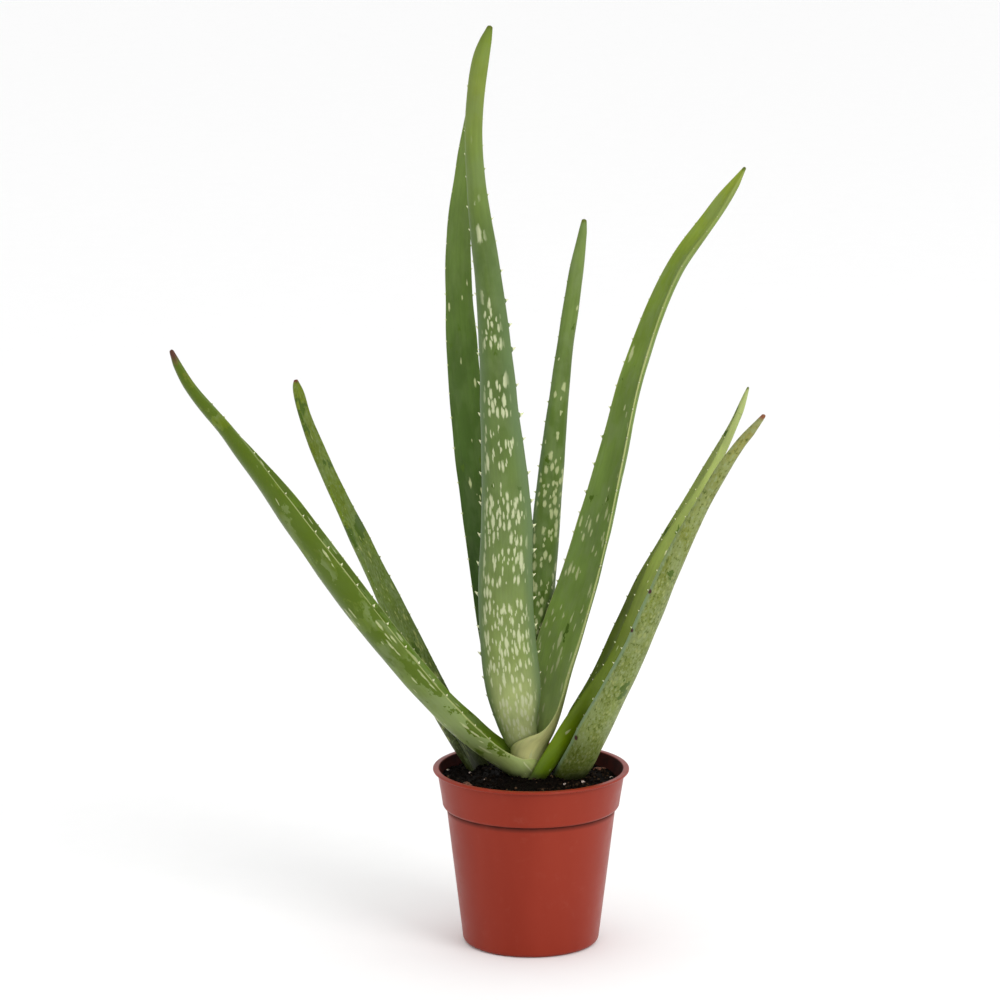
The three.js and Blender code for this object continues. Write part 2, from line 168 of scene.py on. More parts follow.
LOOKS = {
    "leaf_inner_slim": dict(
        outer=[(0, (140, 152, 92)), (0.12, (110, 138, 60)), (0.35, (96, 122, 52)), (0.6, (96, 122, 52)),
               (1, (128, 150, 84))],
        inner=[(0, (110, 132, 66)), (0.3, (88, 114, 46)), (1, (120, 142, 72))],
        spots=1.0, spots_inside=0.7, spots_end=0.85, spot_size=(3.2, 8.5), edge_sheen=2.5),
    "leaf_back_tall": dict(
        inner=[(0, (40, 70, 4)), (0.3, (52, 82, 14)), (0.6, (78, 106, 36)), (0.85, (106, 130, 64)),
               (1, (120, 142, 70))],
        spots_inside=0.04, bloom_share=0.12, spots=0.4),
    "leaf_front_tall": dict(
        # The pale foot is its own colour, lightened further as painted light against the shade round the
        # sheath.
        outer=[(0, (214, 220, 174)), (0.08, (204, 214, 162)), (0.16, (144, 161, 100)),
               (0.3, (120, 141, 84)), (0.5, (96, 120, 60)), (0.7, (92, 115, 50)),
               (0.82, (124, 146, 72)), (0.92, (142, 158, 68)), (1, (116, 136, 10))],
        spots=1.0, spots_end=0.9, spot=(228, 232, 212), spot_size=(2.2, 11.0), spot_rim=6.5,
        edge_sheen=9.0, bloom_share=0.25, rub=(0, 0.12)),
    "leaf_right_tall": dict(
        outer=[(0, (222, 218, 170)), (0.1, (210, 208, 156)), (0.15, (168, 182, 118)), (0.3, (116, 142, 76)),
               (0.8, (130, 152, 70)), (1, (146, 160, 76))],
        # The inner face's pale foot is partly its own colour, partly painted light against shade in the
        # channel.
        inner=[(0, (176, 188, 122)), (0.13, (160, 184, 118)), (0.22, (134, 162, 82)), (0.4, (121, 148, 80)),
               (0.6, (122, 148, 70)), (0.8, (128, 152, 52)), (1, (150, 166, 60))],
        spots=0.3, spots_inside=0.28, spot_size=(2.8, 12.0), rub=(0.15, 0.0), rub_from=0.09, margin=0.75),
    "leaf_left_front": dict(
        outer=[(0, (176, 184, 120)), (0.07, (166, 180, 122)), (0.16, (148, 166, 112)),
               (0.36, (106, 128, 46)), (0.7, (104, 126, 4)), (0.92, (112, 132, 10)),
               (1, (116, 112, 50))],
        inner=[(0, (124, 152, 40)), (0.3, (102, 134, 6)), (1, (100, 126, 6))],
        spots=0.25, spot_size=(1.8, 14.0), rubbed=(90, 114, 0), rub=(0.6, 1.0), bloom=(148, 164, 128),
        bloom_share=0.4, margin=0.6, tip=(98, 58, 48), tip_length=9),
    "leaf_right_rear": dict(
        # The bright green foot is partly its own colour, partly painted light against the shade between the
        # leaves.
        outer=[(0, (84, 112, 0)), (0.12, (128, 156, 0)), (0.24, (104, 126, 0)), (0.45, (110, 126, 44)),
               (0.62, (138, 154, 78)), (0.8, (168, 182, 112)), (1, (178, 188, 136))],
        inner=[(0, (94, 122, 0)), (0.15, (126, 152, 0)), (0.26, (104, 126, 4)), (0.45, (110, 126, 48)),
               (0.62, (138, 154, 78)), (0.8, (168, 182, 112)), (1, (178, 188, 136))],
        spots=0.12, spots_inside=0.12, rub=(0.3, 0.3), bloom_share=0.08, foot_shade=7),
    "leaf_left_rear": dict(
        # The dark first stops are painted shade on the lower part of this leaf, behind leaf_left_front.
        outer=[(0, (44, 50, 4)), (0.16, (62, 72, 4)), (0.34, (110, 131, 58)), (0.5, (106, 128, 40)),
               (0.75, (112, 132, 10)), (1, (120, 136, 14))],
        inner=[(0, (44, 50, 4)), (0.16, (66, 78, 8)), (0.34, (112, 133, 62)), (0.5, (110, 132, 46)),
               (0.75, (112, 132, 10)), (1, (120, 136, 14))],
        spots=0.4, spots_inside=0.4, spot=(176, 184, 120), mottle=0.7, scars=1.0, rub=(0.2, 0.4),
        tip=(120, 52, 44), tip_length=2, foot_shade=14),
    "leaf_right_front": dict(
        outer=[(0, (76, 92, 18)), (0.1, (126, 140, 60)), (0.25, (134, 148, 82)), (0.6, (128, 139, 64)),
               (0.85, (146, 152, 84)), (1, (162, 152, 94))],
        inner=[(0, (60, 80, 16)), (0.4, (92, 114, 46)), (1, (120, 136, 66))],
        bloom=(160, 172, 136), bloom_share=0.45, spots=0.3, spot=(166, 174, 118), spot_size=(1.6, 4.5),
        spots_end=1.0, mottle=0.85, scars=0.6, rub=(0.3, 0.1), edge_sheen=1.6, edge=(142, 166, 146),
        tip=(150, 92, 74), tip_length=4, foot_shade=9),
}

# Grains on the mix: the longest half-size, the flattening of the other two, and a turn in degrees.
PERLITE = [
    (1.0, 0.8, 0.75, 0), (0.8, 0.9, 0.8, 0), (0.8, 0.85, 0.75, 0), (0.7, 0.9, 0.8, 0),
    (0.9, 0.9, 0.7, 0), (1.5, 0.6, 0.6, 20), (1.0, 0.7, 0.7, 0),
]
BARK_CHIPS = [(3.4, 0.4, 0.3, 12), (3.2, 0.5, 0.3, -30), (3.4, 0.45, 0.35, 65), (3, 0.45, 0.35, 130)]

# Studio: an even white world and one large soft light from the right.
WORLD_STRENGTH = 1.02
KEY_PLACE = (1.5, -1.6, 1.6)
KEY_AIM = (0, 0, 0.2)
KEY_SIZE = 1.2
KEY_POWER = 24
FLOOR_SIZE = 24


# ---------------------------------------------------------------- working by hand

def activate(obj):
    """Selects one object and nothing else."""
    bpy.ops.object.select_all(action="DESELECT")
    obj.select_set(True)
    bpy.context.view_layer.objects.active = obj


def started(name):
    """The primitive that was just added, named."""
    obj = bpy.context.object
    obj.name = name
    obj.data.name = name
    return obj


def editing(obj, mode="VERT"):
    """Edit mode on one object, with nothing selected."""
    activate(obj)
    bpy.ops.object.mode_set(mode="EDIT")
    bpy.ops.mesh.select_mode(type=mode)
    bpy.ops.mesh.select_all(action="DESELECT")


def done_editing():
    bpy.ops.object.mode_set(mode="OBJECT")


def apply_modifier(obj, kind, **settings):
    activate(obj)
    modifier = obj.modifiers.new(kind.lower(), kind)
    for key, value in settings.items():
        setattr(modifier, key, value)
    bpy.ops.object.modifier_apply(modifier=modifier.name)


def clean_mesh(obj, distance=0.00001):
    """Merges doubles and turns all faces outwards."""
    editing(obj)
    bpy.ops.mesh.select_all(action="SELECT")
    bpy.ops.mesh.remove_doubles(threshold=distance)
    bpy.ops.mesh.normals_make_consistent(inside=False)
    done_editing()


def shade_smooth(obj, degrees=40):
    activate(obj)
    bpy.ops.object.shade_smooth_by_angle(angle=math.radians(degrees))


def settle(obj, material, slot, *nodes):
    """Gives a finished piece its material and its place on the body, and hides the nodes it stands for."""
    obj.data.materials.clear()
    obj.data.materials.append(material)
    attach(obj, ROOT)
    if nodes:
        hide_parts(*nodes)


def set_values(mesh, name, values):
    """A number for each vertex, for the material to read."""
    layer = mesh.attributes.get(name) or mesh.attributes.new(name, "FLOAT", "POINT")
    layer.data.foreach_set("value", values)


# ---------------------------------------------------------------- materials

def srgb(colour):
    """8-bit sRGB as the linear colour that a socket takes."""
    def linear(value):
        share = value / 255
        return share / 12.92 if share <= 0.04045 else ((share + 0.055) / 1.055) ** 2.4
    return (*(linear(value) for value in colour), 1.0)


class Finish:
    """A material's nodes."""

    def __init__(self, name):
        self.material = bpy.data.materials.new(name)
        self.material.use_nodes = True
        self.tree = self.material.node_tree
        self.surface = self.tree.nodes["Principled BSDF"]

    def feed(self, socket, value):
        if isinstance(value, bpy.types.NodeSocket):
            self.tree.links.new(value, socket)
        elif value is not None:
            socket.default_value = value

    def node(self, kind, inputs=None, **settings):
        made = self.tree.nodes.new("ShaderNode" + kind)
        for key, value in settings.items():
            setattr(made, key, value)
        for key, value in (inputs or {}).items():
            self.feed(made.inputs[key], value)
        return made

    def attribute(self, name, output="Fac"):
        return self.node("Attribute", attribute_name=name).outputs[output]

    def place(self):
        return self.node("TexCoord").outputs["Object"]

    def math(self, operation, a, b=None, clamp=False):
        return self.node("Math", {0: a, 1: b}, operation=operation, use_clamp=clamp).outputs[0]

    def stretch(self, vector, scale):
        return self.node("VectorMath", {0: vector, 1: scale}, operation="MULTIPLY").outputs[0]

    def shift(self, vector, offset):
        return self.node("VectorMath", {0: vector, 1: offset}, operation="ADD").outputs[0]

    def shade(self, colour, factor):
        made = self.node("VectorMath", {0: colour, "Scale": factor}, operation="SCALE")
        return made.outputs[0]

    def noise(self, vector, scale, detail=2.0, roughness=0.5, distortion=0.0):
        inputs = {"Vector": vector, "Scale": scale, "Detail": detail, "Roughness": roughness,
                  "Distortion": distortion}
        return self.node("TexNoise", inputs).outputs["Fac"]

    def ramp(self, value, low, high, to_low=0.0, to_high=1.0):
        inputs = {"Value": value, "From Min": low, "From Max": high, "To Min": to_low, "To Max": to_high}
        return self.node("MapRange", inputs, interpolation_type="SMOOTHSTEP").outputs[0]

    def stops(self, value, rows):
        """A colour that changes with a value, by rows of (value, colour)."""
        made = self.node("ValToRGB", {0: value})
        elements = made.color_ramp.elements
        elements.remove(elements[1])
        elements[0].position, elements[0].color = rows[0][0], srgb(rows[0][1])
        for place, colour in rows[1:]:
            elements.new(place).color = srgb(colour)
        return made.outputs[0]

    def mix(self, factor, a, b):
        return self.node("Mix", {0: factor, 6: a, 7: b}, data_type="RGBA").outputs[2]

    def blend(self, factor, a, b):
        return self.node("Mix", {0: factor, 2: a, 3: b}, data_type="FLOAT").outputs[0]

    def bump(self, height, distance, strength=1.0):
        inputs = {"Height": height, "Distance": distance, "Strength": strength}
        self.feed(self.surface.inputs["Normal"], self.node("Bump", inputs).outputs[0])

    def set(self, **values):
        for key, value in values.items():
            self.feed(self.surface.inputs[key.replace("_", " ")], value)


def spot_layer(finish, skin, cell, length, whole, end, seed):
    """Soft uneven spots drawn out along the leaf, in loose bands across it; one to a cell at most."""
    wide, tall = cell
    ragged = {"Vector": finish.stretch(skin, (900, 260, 1)), "Scale": 1.0, "Detail": 2.0}
    uneven = finish.shift(finish.node("TexNoise", ragged).outputs["Color"], (-0.5, -0.5, -0.5))
    uneven = finish.stretch(uneven, (0.55, 0.7, 0))
    placed = finish.stretch(skin, (1 / (wide * MM), 1 / (tall * MM), 0))
    placed = finish.shift(finish.shift(placed, (seed, seed, 0)), uneven)
    scattered = {"Vector": placed, "Scale": 1.0, "Randomness": 0.85}
    cells = finish.node("TexVoronoi", scattered, voronoi_dimensions="2D", feature="F1")
    room = finish.node("TexVoronoi", scattered, voronoi_dimensions="2D", feature="N_SPHERE_RADIUS")
    centre = finish.shift(cells.outputs["Position"], (-seed, -seed, 0))
    lot = finish.node("SeparateColor", {0: cells.outputs["Color"]}).outputs

    across_bands = finish.shift(finish.stretch(centre, (wide / 50, tall / 19, 1)), (seed / 9, 0, 0))
    banded = finish.ramp(finish.noise(across_bands, 1.0, 1.0), 0.44, 0.56, 0.05, 1.0)
    along = finish.node("SeparateXYZ", {0: finish.stretch(centre, (0, tall * MM / length, 0))}).outputs[1]
    thinned = finish.ramp(along, end, 0.5 * end, 0.05, 1.0)
    share = finish.math("MULTIPLY", finish.math("MULTIPLY", whole, thinned), banded)

    most = finish.math("MULTIPLY", room.outputs["Radius"], 1.2)
    radius = finish.math("MINIMUM", finish.ramp(lot[1], 0.0, 1.0, 0.22, 0.6), most)
    body = finish.ramp(cells.outputs["Distance"], radius, finish.math("MULTIPLY", radius, 0.4))
    there = finish.math("LESS_THAN", lot[0], share)
    return finish.math("MULTIPLY", body, there)


def pale_spots(finish, look, skin, length):
    """Two layers of spots, clear of the margins and of the foot."""
    rim = finish.attribute("rim")
    whole = finish.blend(finish.attribute("face"), look["spots"], look["spots_inside"])
    wide, tall = look["spot_size"]
    spots = finish.math(
        "MAXIMUM",
        spot_layer(finish, skin, (wide, tall), length, whole, look["spots_end"], 0),
        spot_layer(finish, skin, (wide * 0.75, tall * 0.7), length, whole, look["spots_end"], 31.7),
    )
    clean_rim = look["spot_rim"] * MM
    spots = finish.math("MULTIPLY", spots, finish.ramp(rim, 0.55 * clean_rim, clean_rim, 0.0, 0.85))
    return finish.math("MULTIPLY", spots, finish.ramp(finish.attribute("along"), 0.02, 0.05))


def bloomed_green(finish, look, skin, green):
    """The wax on the skin: soft patches, and a fine mottling where the look has one."""
    patches = finish.noise(finish.stretch(skin, (120, 48, 1)), 1.0, 5.0, 0.6)
    bloomed = finish.ramp(patches, 0.42, 0.62, 0.0, look["bloom_share"])
    green = finish.mix(bloomed, green, srgb(look["bloom"]))
    if look["mottle"]:
        grain = finish.noise(finish.stretch(skin, (1000, 330, 1)), 1.0, 4.0, 0.65)
        grey = finish.ramp(grain, 0.5, 0.66, 0.0, look["mottle"])
        green = finish.mix(grey, green, srgb(look["bloom"]))
        dark = finish.ramp(grain, 0.46, 0.36, 0.0, look["mottle"])
        green = finish.mix(dark, green, srgb((88, 104, 34)))
    return green


def rubbed_patches(finish, look, skin, along):
    """Where the wax is rubbed off, with jagged borders."""
    low_rub, high_rub = look["rub"]
    jagged = finish.noise(finish.shift(finish.stretch(skin, (85, 42, 1)), (7, 3, 0)), 1.0, 7.0, 0.62)
    level = finish.ramp(along, 0.15, 0.8, 0.68 - 0.24 * low_rub, 0.68 - 0.24 * high_rub)
    bare = finish.ramp(finish.math("SUBTRACT", jagged, level), 0.0, 0.012, 0.0, 0.9)
    start = look["rub_from"]
    return finish.math("MULTIPLY", bare, finish.ramp(along, start, start + 0.04))


def painted_edge_sheen(finish, look, along):
    """Painted sheen: the bluish strip beside the margins, which fades up the leaf."""
    width = look["edge_sheen"] * MM
    strip = finish.ramp(finish.attribute("rim"), width, 0.25 * width, 0.0, 0.85)
    strip = finish.math("MULTIPLY", strip, finish.ramp(along, 0.02, 0.06))
    return finish.math("MULTIPLY", strip, finish.ramp(along, 0.8, 0.45, 0.15, 1.0))


def scar_marks(finish, look, skin):
    """Small round dark marks."""
    cells = {"Vector": finish.stretch(skin, (110, 65, 0)), "Scale": 1.0}
    marks = finish.node("TexVoronoi", cells, voronoi_dimensions="2D", feature="F1")
    lot = finish.node("SeparateColor", {0: marks.outputs["Color"]}).outputs
    there = finish.math("LESS_THAN", lot[2], 0.2 * look["scars"])
    return finish.math("MULTIPLY", finish.ramp(marks.outputs["Distance"], 0.12, 0.05), there)


def leaf_finish(name, look, length):
    """Waxy leaf skin: greens, bloom and rubbed patches, spots, a pale base, the margin and the tip,
    with a painted sheen beside the margins and painted shade at the foot, near the mix.
    """
    finish = Finish(name)
    skin = finish.attribute("skin", "Vector")
    along = finish.attribute("along")
    face = finish.attribute("face")

    green = finish.mix(face, finish.stops(along, look["outer"]), finish.stops(along, look["inner"]))
    streaks = finish.noise(finish.stretch(skin, (1100, 24, 1)), 1.0, 3.0, 0.6)
    clouds = finish.noise(finish.stretch(skin, (90, 40, 1)), 1.0, 3.0, 0.5)
    green = finish.shade(green, finish.ramp(streaks, 0.25, 0.75, 0.93, 1.07))
    green = finish.shade(green, finish.ramp(clouds, 0.3, 0.7, 0.88, 1.12))
    green = bloomed_green(finish, look, skin, green)
    rubbed = rubbed_patches(finish, look, skin, along)
    green = finish.mix(rubbed, green, srgb(look["rubbed"]))
    # Painted sheen: a bluish strip beside the margins, in the look's edge colour.
    if look["edge_sheen"]:
        green = finish.mix(painted_edge_sheen(finish, look, along), green, srgb(look["edge"]))
    spots = pale_spots(finish, look, skin, length)
    green = finish.mix(spots, green, srgb(look["spot"]))
    if look["scars"]:
        green = finish.mix(scar_marks(finish, look, skin), green, srgb((80, 44, 50)))

    edge = finish.ramp(finish.attribute("rim"), 0.3 * MM, 0.1 * MM, 0.0, look["margin"])
    edge = finish.math("MULTIPLY", edge, finish.ramp(along, 0.9, 0.6, 0.15, 1.0))
    green = finish.mix(edge, green, srgb((206, 210, 160)))
    ragged = finish.math("ADD", finish.attribute("to_tip"), finish.ramp(streaks, 0, 1, -2 * MM, 2 * MM))
    tipped = finish.ramp(ragged, look["tip_length"] * MM, look["tip_length"] * 0.25 * MM)
    green = finish.mix(tipped, green, srgb(look["tip"]))
    horn = finish.ramp(finish.attribute("tooth"), 0.0, 0.35)
    green = finish.mix(horn, green, srgb((255, 255, 236)))
    # Painted shade: the foot of each leaf is darkened towards the mix, up to the look's height.
    height = finish.math("ADD", finish.attribute("above"), finish.ramp(clouds, 0, 1, -5 * MM, 5 * MM))
    foot_shaded = finish.ramp(height, look["foot_shade"] * MM, 0.0, 0.0, 0.85)
    green = finish.mix(foot_shaded, green, srgb((44, 50, 12)))

    unlit = finish.stretch(green, tuple(1 / share for share in LIGHT))
    rough = finish.blend(rubbed, 0.5, 0.34)
    rough = finish.math("ADD", rough, finish.ramp(streaks, 0, 1, -0.05, 0.05))
    finish.set(Base_Color=unlit, Roughness=rough, Specular_IOR_Level=0.2)
    finish.set(Subsurface_Weight=0.1, Subsurface_Scale=0.0015, Subsurface_Radius=(0.5, 1.0, 0.25))
    fine = finish.noise(finish.stretch(skin, (2600, 900, 1)), 1.0, 2.0)
    relief = finish.math("ADD", finish.math("MULTIPLY", streaks, 0.5), finish.math("MULTIPLY", fine, 0.15))
    relief = finish.math("ADD", relief, finish.math("MULTIPLY", spots, 0.2))
    finish.bump(relief, 0.25 * MM, 0.6)
    return finish.material


def pot_finish():
    """Moulded red-brown plastic with a soft gloss, faint flow marks and dust, darkened on the inner wall.
    """
    finish = Finish("moulded_plastic")
    place = finish.place()
    inside = finish.attribute("inside")
    flow = finish.noise(finish.stretch(place, (30, 30, 8)), 1.0, 3.0)
    red = finish.mix(finish.ramp(flow, 0.3, 0.7), srgb((130, 37, 17)), srgb((138, 44, 25)))
    dust = finish.noise(place, 120.0, 6.0, 0.7)
    dusty = finish.ramp(dust, 0.55, 0.8, 0.0, 0.14)
    red = finish.mix(dusty, red, srgb((160, 96, 82)))
    # The inner wall below the rim is darkened to a deep red.
    inner_darkening = finish.math("MULTIPLY", inside, finish.ramp(dust, 0.3, 0.7, 1.0, 0.8))
    red = finish.mix(inner_darkening, red, srgb((38, 6, 2)))
    fine = finish.noise(place, 1800.0, 2.0)
    rough = finish.ramp(dust, 0.3, 0.8, 0.32, 0.44)
    rough = finish.math("ADD", rough, finish.ramp(fine, 0, 1, -0.02, 0.02))
    rough = finish.blend(inside, rough, 0.8)
    finish.set(Base_Color=red, Roughness=rough, Specular_IOR_Level=0.18)
    finish.bump(finish.math("ADD", fine, finish.math("MULTIPLY", flow, 2.0)), 0.03 * MM, 0.5)
    return finish.material


def mix_finish():
    """Moist peat: almost black, each crumb a little different."""
    finish = Finish("moist_peat")
    place = finish.place()
    tint = finish.attribute("tint")
    clods = finish.noise(place, 500.0, 5.0, 0.65)
    brown = finish.mix(finish.ramp(clods, 0.3, 0.75), srgb((3, 1, 0)), srgb((15, 9, 5)))
    brown = finish.mix(tint, brown, srgb((96, 74, 54)))
    finish.set(Base_Color=brown, Roughness=finish.ramp(clods, 0.2, 0.8, 0.95, 0.7), Specular_IOR_Level=0.06)
    finish.bump(finish.noise(place, 1500.0, 4.0, 0.7), 0.3 * MM, 0.8)
    return finish.material


def grain_finish(name, dark, light, scale):
    finish = Finish(name)
    place = finish.place()
    cloud = finish.noise(place, scale, 4.0, 0.6)
    colour = finish.mix(finish.ramp(cloud, 0.35, 0.65), srgb(dark), srgb(light))
    finish.set(Base_Color=colour, Roughness=0.85)
    finish.bump(cloud, 0.2 * MM, 0.7)
    return finish.material


# ---------------------------------------------------------------- leaves

class Blade:
    """A leaf's line of stations, and the banded section that runs along it."""

    def __init__(self, thick, stations):
        self.thick = thick
        self.rows = stations
        self.knots = [0.0]
        for last, row in zip(stations, stations[1:]):
            self.knots.append(self.knots[-1] + math.dist(last[:3], row[:3]))
        self.length = self.knots[-1]
        rises = [
            [(b - a) / (self.knots[i + 1] - self.knots[i]) for a, b in zip(stations[i], stations[i + 1])]
            for i in range(len(stations) - 1)
        ]
        middle = [[(a + b) / 2 for a, b in zip(r, q)] for r, q in zip(rises, rises[1:])]
        self.slopes = [rises[0], *middle, rises[-1]]

    def values(self, s):
        """The station's six numbers at a distance along the leaf."""
        s = min(max(s, 0.0), self.length)
        i = max(k for k in range(len(self.rows) - 1) if self.knots[k] <= s)
        step = self.knots[i + 1] - self.knots[i]
        f = (s - self.knots[i]) / step
        weights = (2 * f**3 - 3 * f**2 + 1, step * (f**3 - 2 * f**2 + f),
                   3 * f**2 - 2 * f**3, step * (f**3 - f**2))
        sources = zip(self.rows[i], self.slopes[i], self.rows[i + 1], self.slopes[i + 1])
        return [sum(w * x for w, x in zip(weights, source)) for source in sources]

    def section(self, s):
        """Where the section stands, its axes and its size."""
        x, y, z, width, facing, half = self.values(s)
        ahead = Vector(self.values(s + AIM_STEP)[:3]) - Vector(self.values(s - AIM_STEP)[:3])
        tangent = ahead.normalized()
        turn = math.radians(facing)
        inner = Vector((math.cos(turn), math.sin(turn), 0))
        inner = (inner - tangent * inner.dot(tangent)).normalized()
        across = tangent.cross(inner)
        share = s / self.length
        swell = smooth_step(share, 0, SHEATH_END)
        taper = smooth_step(share, SHEATH_END, 1)
        depth_share = (SHEATH_SHARE + (1 - SHEATH_SHARE) * swell) * (1 - (1 - TIP_SHARE) * taper)
        depth = min(self.thick * depth_share, MOST_DEPTH * width)
        reach = math.radians(half)
        flat = width / 2 * reach / (math.sin(reach) if half < 90 else 1)
        edge = LEAF_EDGE * min(1, width / EDGE_WIDTH)
        return Vector((x, y, z)), tangent, inner, across, reach, flat, depth, edge

    def point(self, section, v, side):
        """A point of the skin: v runs from -1 to 1 across, side is 1 inside and -1 outside."""
        here, _, inner, across, reach, flat, depth, edge = section
        bend = flat / reach
        body = depth * (1 - abs(v) ** EDGE_POWER) ** BELLY_POWER
        offset = (INNER_SHARE if side > 0 else INNER_SHARE - 1) * body + side * edge / 2
        angle = v * reach
        sideways = (bend - offset) * math.sin(angle)
        inwards = bend - (bend - offset) * math.cos(angle)
        return here + across * sideways + inner * inwards

    def margin(self, s, v):
        """A point of the margin, and the ways out, along and through the blade there."""
        section = self.section(s)
        _, tangent, inner, across, reach, flat, _, _ = section
        middle = (self.point(section, v, 1) + self.point(section, v, -1)) / 2
        out = (across * (v * math.cos(reach)) + inner * math.sin(reach)).normalized()
        return middle, out, tangent, out.cross(tangent).normalized()


def smooth_step(value, low, high):
    share = min(max((value - low) / (high - low), 0.0), 1.0)
    return share * share * (3 - 2 * share)


def plain_mix_height(x, y):
    """The mix's smooth surface, in millimetres."""
    share = math.hypot(x, y) / COLLAR_TOP_RADIUS
    return MIX_EDGE_Z + MIX_DOME * (1 - share * share) + MIX_SLOPE * x


def ring_places(blade):
    """Distances along the leaf, closer together where the sheath opens fast."""
    places = [0.0]
    while places[-1] < blade.length - 0.5:
        s = places[-1]
        opening = abs(blade.values(s + RING_STEP)[5] - blade.values(s)[5])
        places.append(min(s + RING_STEP * min(1, MOST_OPENING / max(opening, 0.1)), blade.length))
    places[-1] = blade.length
    return places


def roll_leaf(name, blade):
    """A flat sheet, rolled into the leaf's closed skin, with its measures kept for the material."""
    around = 2 * LEAF_FACETS + 2
    places = ring_places(blade)
    rings = len(places) - 1
    bpy.ops.mesh.primitive_grid_add(x_subdivisions=around, y_subdivisions=rings, size=1)
    leaf = started(name)
    mesh = leaf.data
    sections = {}
    skin, rim, along, face, to_tip, above = [], [], [], [], [], []
    for vertex in mesh.vertices:
        column = round((vertex.co.x + 0.5) * around) % around
        row = round((vertex.co.y + 0.5) * rings)
        s = places[row]
        if row not in sections:
            sections[row] = blade.section(s)
        section = sections[row]
        side = 1 if column <= LEAF_FACETS else -1
        step = column % (LEAF_FACETS + 1)
        v = -side * math.cos(math.pi * step / LEAF_FACETS)
        flat = section[5]
        vertex.co = blade.point(section, v, side) * MM
        skin.extend((v * flat * MM, s * MM, 0.0))
        rim.append((1 - abs(v)) * flat * MM)
        along.append(s / blade.length)
        face.append(1.0 if side > 0 else 0.0)
        to_tip.append((blade.length - s) * MM)
        above.append(vertex.co.z - plain_mix_height(vertex.co.x / MM, vertex.co.y / MM) * MM)
    layer = mesh.attributes.new("skin", "FLOAT_VECTOR", "POINT")
    layer.data.foreach_set("vector", skin)
    measures = dict(rim=rim, along=along, face=face, to_tip=to_tip, above=above)
    for key, values in measures.items():
        set_values(mesh, key, values)
    clean_mesh(leaf)
    return leaf


def close_ends(leaf):
    """Fills the two open rings of a rolled leaf."""
    editing(leaf, "EDGE")
    bpy.ops.mesh.select_non_manifold()
    bpy.ops.mesh.fill_holes(sides=0)
    bpy.ops.mesh.select_all(action="SELECT")
    bpy.ops.mesh.normals_make_consistent(inside=False)
    done_editing()


def wrinkle(leaf, depth, size, seed):
    """Slow unevenness, as growth leaves it."""
    mesh = leaf.data
    shift = Vector((seed, 2 * seed, 3 * seed))
    moved = [
        vertex.co + vertex.normal * (depth * MM * noise.noise(vertex.co / (size * MM) + shift))
        for vertex in mesh.vertices
    ]
    for vertex, place in zip(mesh.vertices, moved):
        vertex.co = place


def model_tooth():
    """One hooked thorn, a unit tall, that leans towards the leaf's tip (+X). Z points out."""
    bpy.ops.mesh.primitive_circle_add(vertices=8, radius=1.0, fill_type="NGON")
    tooth = started("tooth")
    editing(tooth, "FACE")
    bpy.ops.mesh.select_all(action="SELECT")
    bpy.ops.transform.resize(value=(0.95, 0.34, 1))
    bpy.ops.transform.translate(value=(0, 0, -0.35))
    for rise, lean, shrink in ((0.4, 0.0, 0.62), (0.25, 0.03, 0.6), (0.3, 0.1, 0.62), (0.25, 0.14, 0.5),
                               (0.15, 0.12, 0.2)):
        bpy.ops.mesh.extrude_region_move(TRANSFORM_OT_translate={"value": (lean, 0, rise)})
        bpy.ops.transform.resize(value=(shrink, math.sqrt(shrink), 1))
    done_editing()
    activate(tooth)
    bpy.ops.object.transform_apply(location=True, rotation=True, scale=True)
    bpy.ops.object.shade_smooth()
    set_values(tooth.data, "tooth", [max(0.02, vertex.co.z) for vertex in tooth.data.vertices])
    return tooth


def tooth_rows(blade, start, end, pitch, height, rng, far_share=1.0):
    """For each tooth: its distance along the leaf, its side and its height."""
    rows = []
    for v in (-1, 1):
        tall = height * (far_share if v > 0 else 1)
        s = start + rng.uniform(0, 0.6 * pitch)
        while s < end:
            fade = 1 - 0.55 * smooth_step(s, 0.45 * blade.length, end)
            fade *= 0.55 + 0.45 * smooth_step(s, start, start + 0.22 * blade.length)
            rows.append((s, v, tall * fade * rng.uniform(0.82, 1.12)))
            s += pitch * (0.55 + 0.45 * fade) * rng.uniform(0.78, 1.2)
    return rows


def add_teeth(leaf, blade, rows, tooth, rng):
    copies = []
    for s, v, height in rows:
        place, out, tangent, through = blade.margin(s, v)
        tilt = rng.uniform(-0.12, 0.12)
        out = (out + through * tilt).normalized()
        ahead = (tangent - out * tangent.dot(out)).normalized()
        turn = Matrix((ahead, out.cross(ahead), out)).transposed()
        mesh = tooth.data.copy()
        size = height * MM
        mesh.transform(Matrix.Translation(place * MM) @ turn.to_4x4() @ Matrix.Scale(size, 4))
        for key, value in (("along", s / blade.length), ("to_tip", (blade.length - s) * MM),
                           ("above", 0.1), ("rim", 0.3 * MM)):
            set_values(mesh, key, [value] * len(mesh.vertices))
        copy = bpy.data.objects.new("tooth_copy", mesh)
        bpy.context.scene.collection.objects.link(copy)
        copies.append(copy)
    activate(leaf)
    for copy in copies:
        copy.select_set(True)
    bpy.ops.object.join()


def make_leaf(name, seed, tooth):
    thick, stations = STATIONS[name]
    blade = Blade(thick, stations)
    rng = random.Random(seed)
    leaf = roll_leaf("grown_" + name, blade)
    close_ends(leaf)
    wrinkle(leaf, 0.5, 22, seed)
    apply_modifier(leaf, "SUBSURF", levels=1, render_levels=1)
    rows = tooth_rows(blade, rng=rng, **TEETH[name])
    add_teeth(leaf, blade, rows, tooth, rng)
    shade_smooth(leaf, 60)
    look = {**PLAIN_LOOK, **LOOKS[name]}
    settle(leaf, leaf_finish(name + "_skin", look, blade.length * MM), "leaf", name)


# ---------------------------------------------------------------- pot

